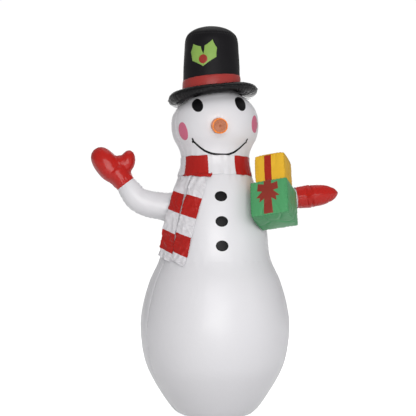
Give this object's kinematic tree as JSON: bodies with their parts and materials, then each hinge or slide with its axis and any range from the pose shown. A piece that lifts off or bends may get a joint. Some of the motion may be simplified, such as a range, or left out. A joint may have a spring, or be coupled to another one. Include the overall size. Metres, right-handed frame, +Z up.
{
  "type": "inflatable snowman",
  "caption": "Tall inflatable snowman for a yard, with a top hat, scarf, mittens and gift boxes, weighted by water in its base.",
  "frame": {"origin": "centre of the flat underside of the base, on the ground", "axes": "+Z up, -Y the way the snowman faces, +X towards its left arm"},
  "size_m": [1.5349, 0.9405, 2.4],
  "materials": {
    "white_pvc": "satin white vinyl film",
    "black_pvc": "satin black vinyl film",
    "red_pvc": "glossy red vinyl film",
    "hat_band": "satin red vinyl film",
    "print_black": "satin black printed film",
    "print_pink": "satin pink printed film",
    "orange_pvc": "translucent orange vinyl film",
    "green_pvc": "satin green vinyl film",
    "yellow_pvc": "satin yellow vinyl film",
    "ribbon_red": "satin dark red vinyl film",
    "leaf_green": "satin light green vinyl film",
    "scarf": "thin vinyl sheet in red and white blocks",
    "clear_pvc": "clear flexible vinyl",
    "valve_plastic": "moulded translucent vinyl",
    "water": "stands in for water",
    "webbing": "woven black webbing",
    "steel": "plated steel wire"
  },
  "bodies": {
    "snowman": {"front_panel": "white_pvc", "left_side_panel": "white_pvc", "back_panel": "white_pvc", "right_side_panel": "white_pvc", "base_panel": "white_pvc", "ballast_diaphragm": "white_pvc", "right_tether_patch": "white_pvc", "left_tether_patch": "white_pvc", "hat_crown": "black_pvc", "hat_brim": "black_pvc", "holly_berry": "red_pvc", "hat_band": "hat_band", "right_eye": "print_black", "left_eye": "print_black", "top_button": "print_black", "middle_button": "print_black", "bottom_button": "print_black", "smile": "print_black", "right_cheek": "print_pink", "left_cheek": "print_pink", "nose": "orange_pvc", "holly_leaf_right": "leaf_green", "holly_leaf_left": "leaf_green", "scarf_collar": "scarf", "main_valve_flap": "clear_pvc", "main_valve_seat": "valve_plastic", "ballast_valve_seat": "valve_plastic", "hat_valve_seat": "valve_plastic", "water_ballast": "water", "right_tether_loop": "webbing", "left_tether_loop": "webbing"},
    "right_arm": {"right_sleeve": "white_pvc", "right_mitten": "red_pvc"},
    "left_arm": {"left_sleeve": "white_pvc", "left_mitten": "red_pvc", "green_gift": "green_pvc", "yellow_gift": "yellow_pvc", "yellow_gift_ribbon": "ribbon_red", "green_gift_bow": "ribbon_red", "gift_tab": "green_pvc", "green_gift_valve_seat": "valve_plastic", "yellow_gift_valve_seat": "valve_plastic"},
    "main_valve_cap": {"main_valve_cap": "valve_plastic"},
    "ballast_valve_cap": {"ballast_valve_cap": "valve_plastic"},
    "hat_valve_cap": {"hat_valve_cap": "valve_plastic"},
    "green_gift_valve_cap": {"green_gift_valve_cap": "valve_plastic"},
    "yellow_gift_valve_cap": {"yellow_gift_valve_cap": "valve_plastic"},
    "scarf_tail_inner": {"scarf_tail_inner": "scarf"},
    "scarf_tail_outer": {"scarf_tail_outer": "scarf"},
    "right_tether_ring": {"right_tether_ring": "steel"},
    "left_tether_ring": {"left_tether_ring": "steel"}
  },
  "joints": [
    {"name": "right_arm_flex", "type": "hinge", "parent": "snowman", "child": "right_arm", "pos_m": [-0.292, 0, 1.276], "axis": [0, 1, 0], "range_deg": [-10, 10], "stiffness_Nm_per_rad": 30},
    {"name": "left_arm_flex", "type": "hinge", "parent": "snowman", "child": "left_arm", "pos_m": [0.29, 0, 1.292], "axis": [0, 1, 0], "range_deg": [-4, 4], "stiffness_Nm_per_rad": 60},
    {"name": "scarf_tail_inner_lift", "type": "hinge", "parent": "snowman", "child": "scarf_tail_inner", "pos_m": [-0.11162, -0.20992, 1.46275], "axis": [-0.8829, 0.4695, 0], "range_deg": [0, 50]},
    {"name": "scarf_tail_outer_lift", "type": "hinge", "parent": "snowman", "child": "scarf_tail_outer", "pos_m": [-0.18684, -0.14702, 1.46275], "axis": [-0.6184, 0.7859, 0], "range_deg": [0, 50]},
    {"name": "main_valve_cap_hinge", "type": "hinge", "parent": "snowman", "child": "main_valve_cap", "pos_m": [0, 0.47297, 0.55942], "axis": [1, 0, 0], "range_deg": [0, 140]},
    {"name": "ballast_valve_cap_hinge", "type": "hinge", "parent": "snowman", "child": "ballast_valve_cap", "pos_m": [0, 0.31875, 0.09952], "axis": [1, 0, 0], "range_deg": [0, 140]},
    {"name": "hat_valve_cap_hinge", "type": "hinge", "parent": "snowman", "child": "hat_valve_cap", "pos_m": [-0.02502, 0.28645, 1.98932], "axis": [0.993, 0, 0.1184], "range_deg": [0, 140]},
    {"name": "green_gift_valve_cap_hinge", "type": "hinge", "parent": "left_arm", "child": "green_gift_valve_cap", "pos_m": [0.42702, -0.19452, 1.30084], "axis": [0.8996, -0.4119, 0.145], "range_deg": [0, 140]},
    {"name": "yellow_gift_valve_cap_hinge", "type": "hinge", "parent": "left_arm", "child": "yellow_gift_valve_cap", "pos_m": [0.41897, -0.1275, 1.48599], "axis": [0.8996, -0.4119, 0.145], "range_deg": [0, 140]},
    {"name": "right_tether_ring_swing", "type": "hinge", "parent": "snowman", "child": "right_tether_ring", "pos_m": [-0.22676, 0.25184, 1.05656], "axis": [0.7431, 0.6691, 0], "range_deg": [0, 120]},
    {"name": "left_tether_ring_swing", "type": "hinge", "parent": "snowman", "child": "left_tether_ring", "pos_m": [0.22676, 0.25184, 1.05656], "axis": [0.7431, -0.6691, 0], "range_deg": [0, 120]}
  ]
}
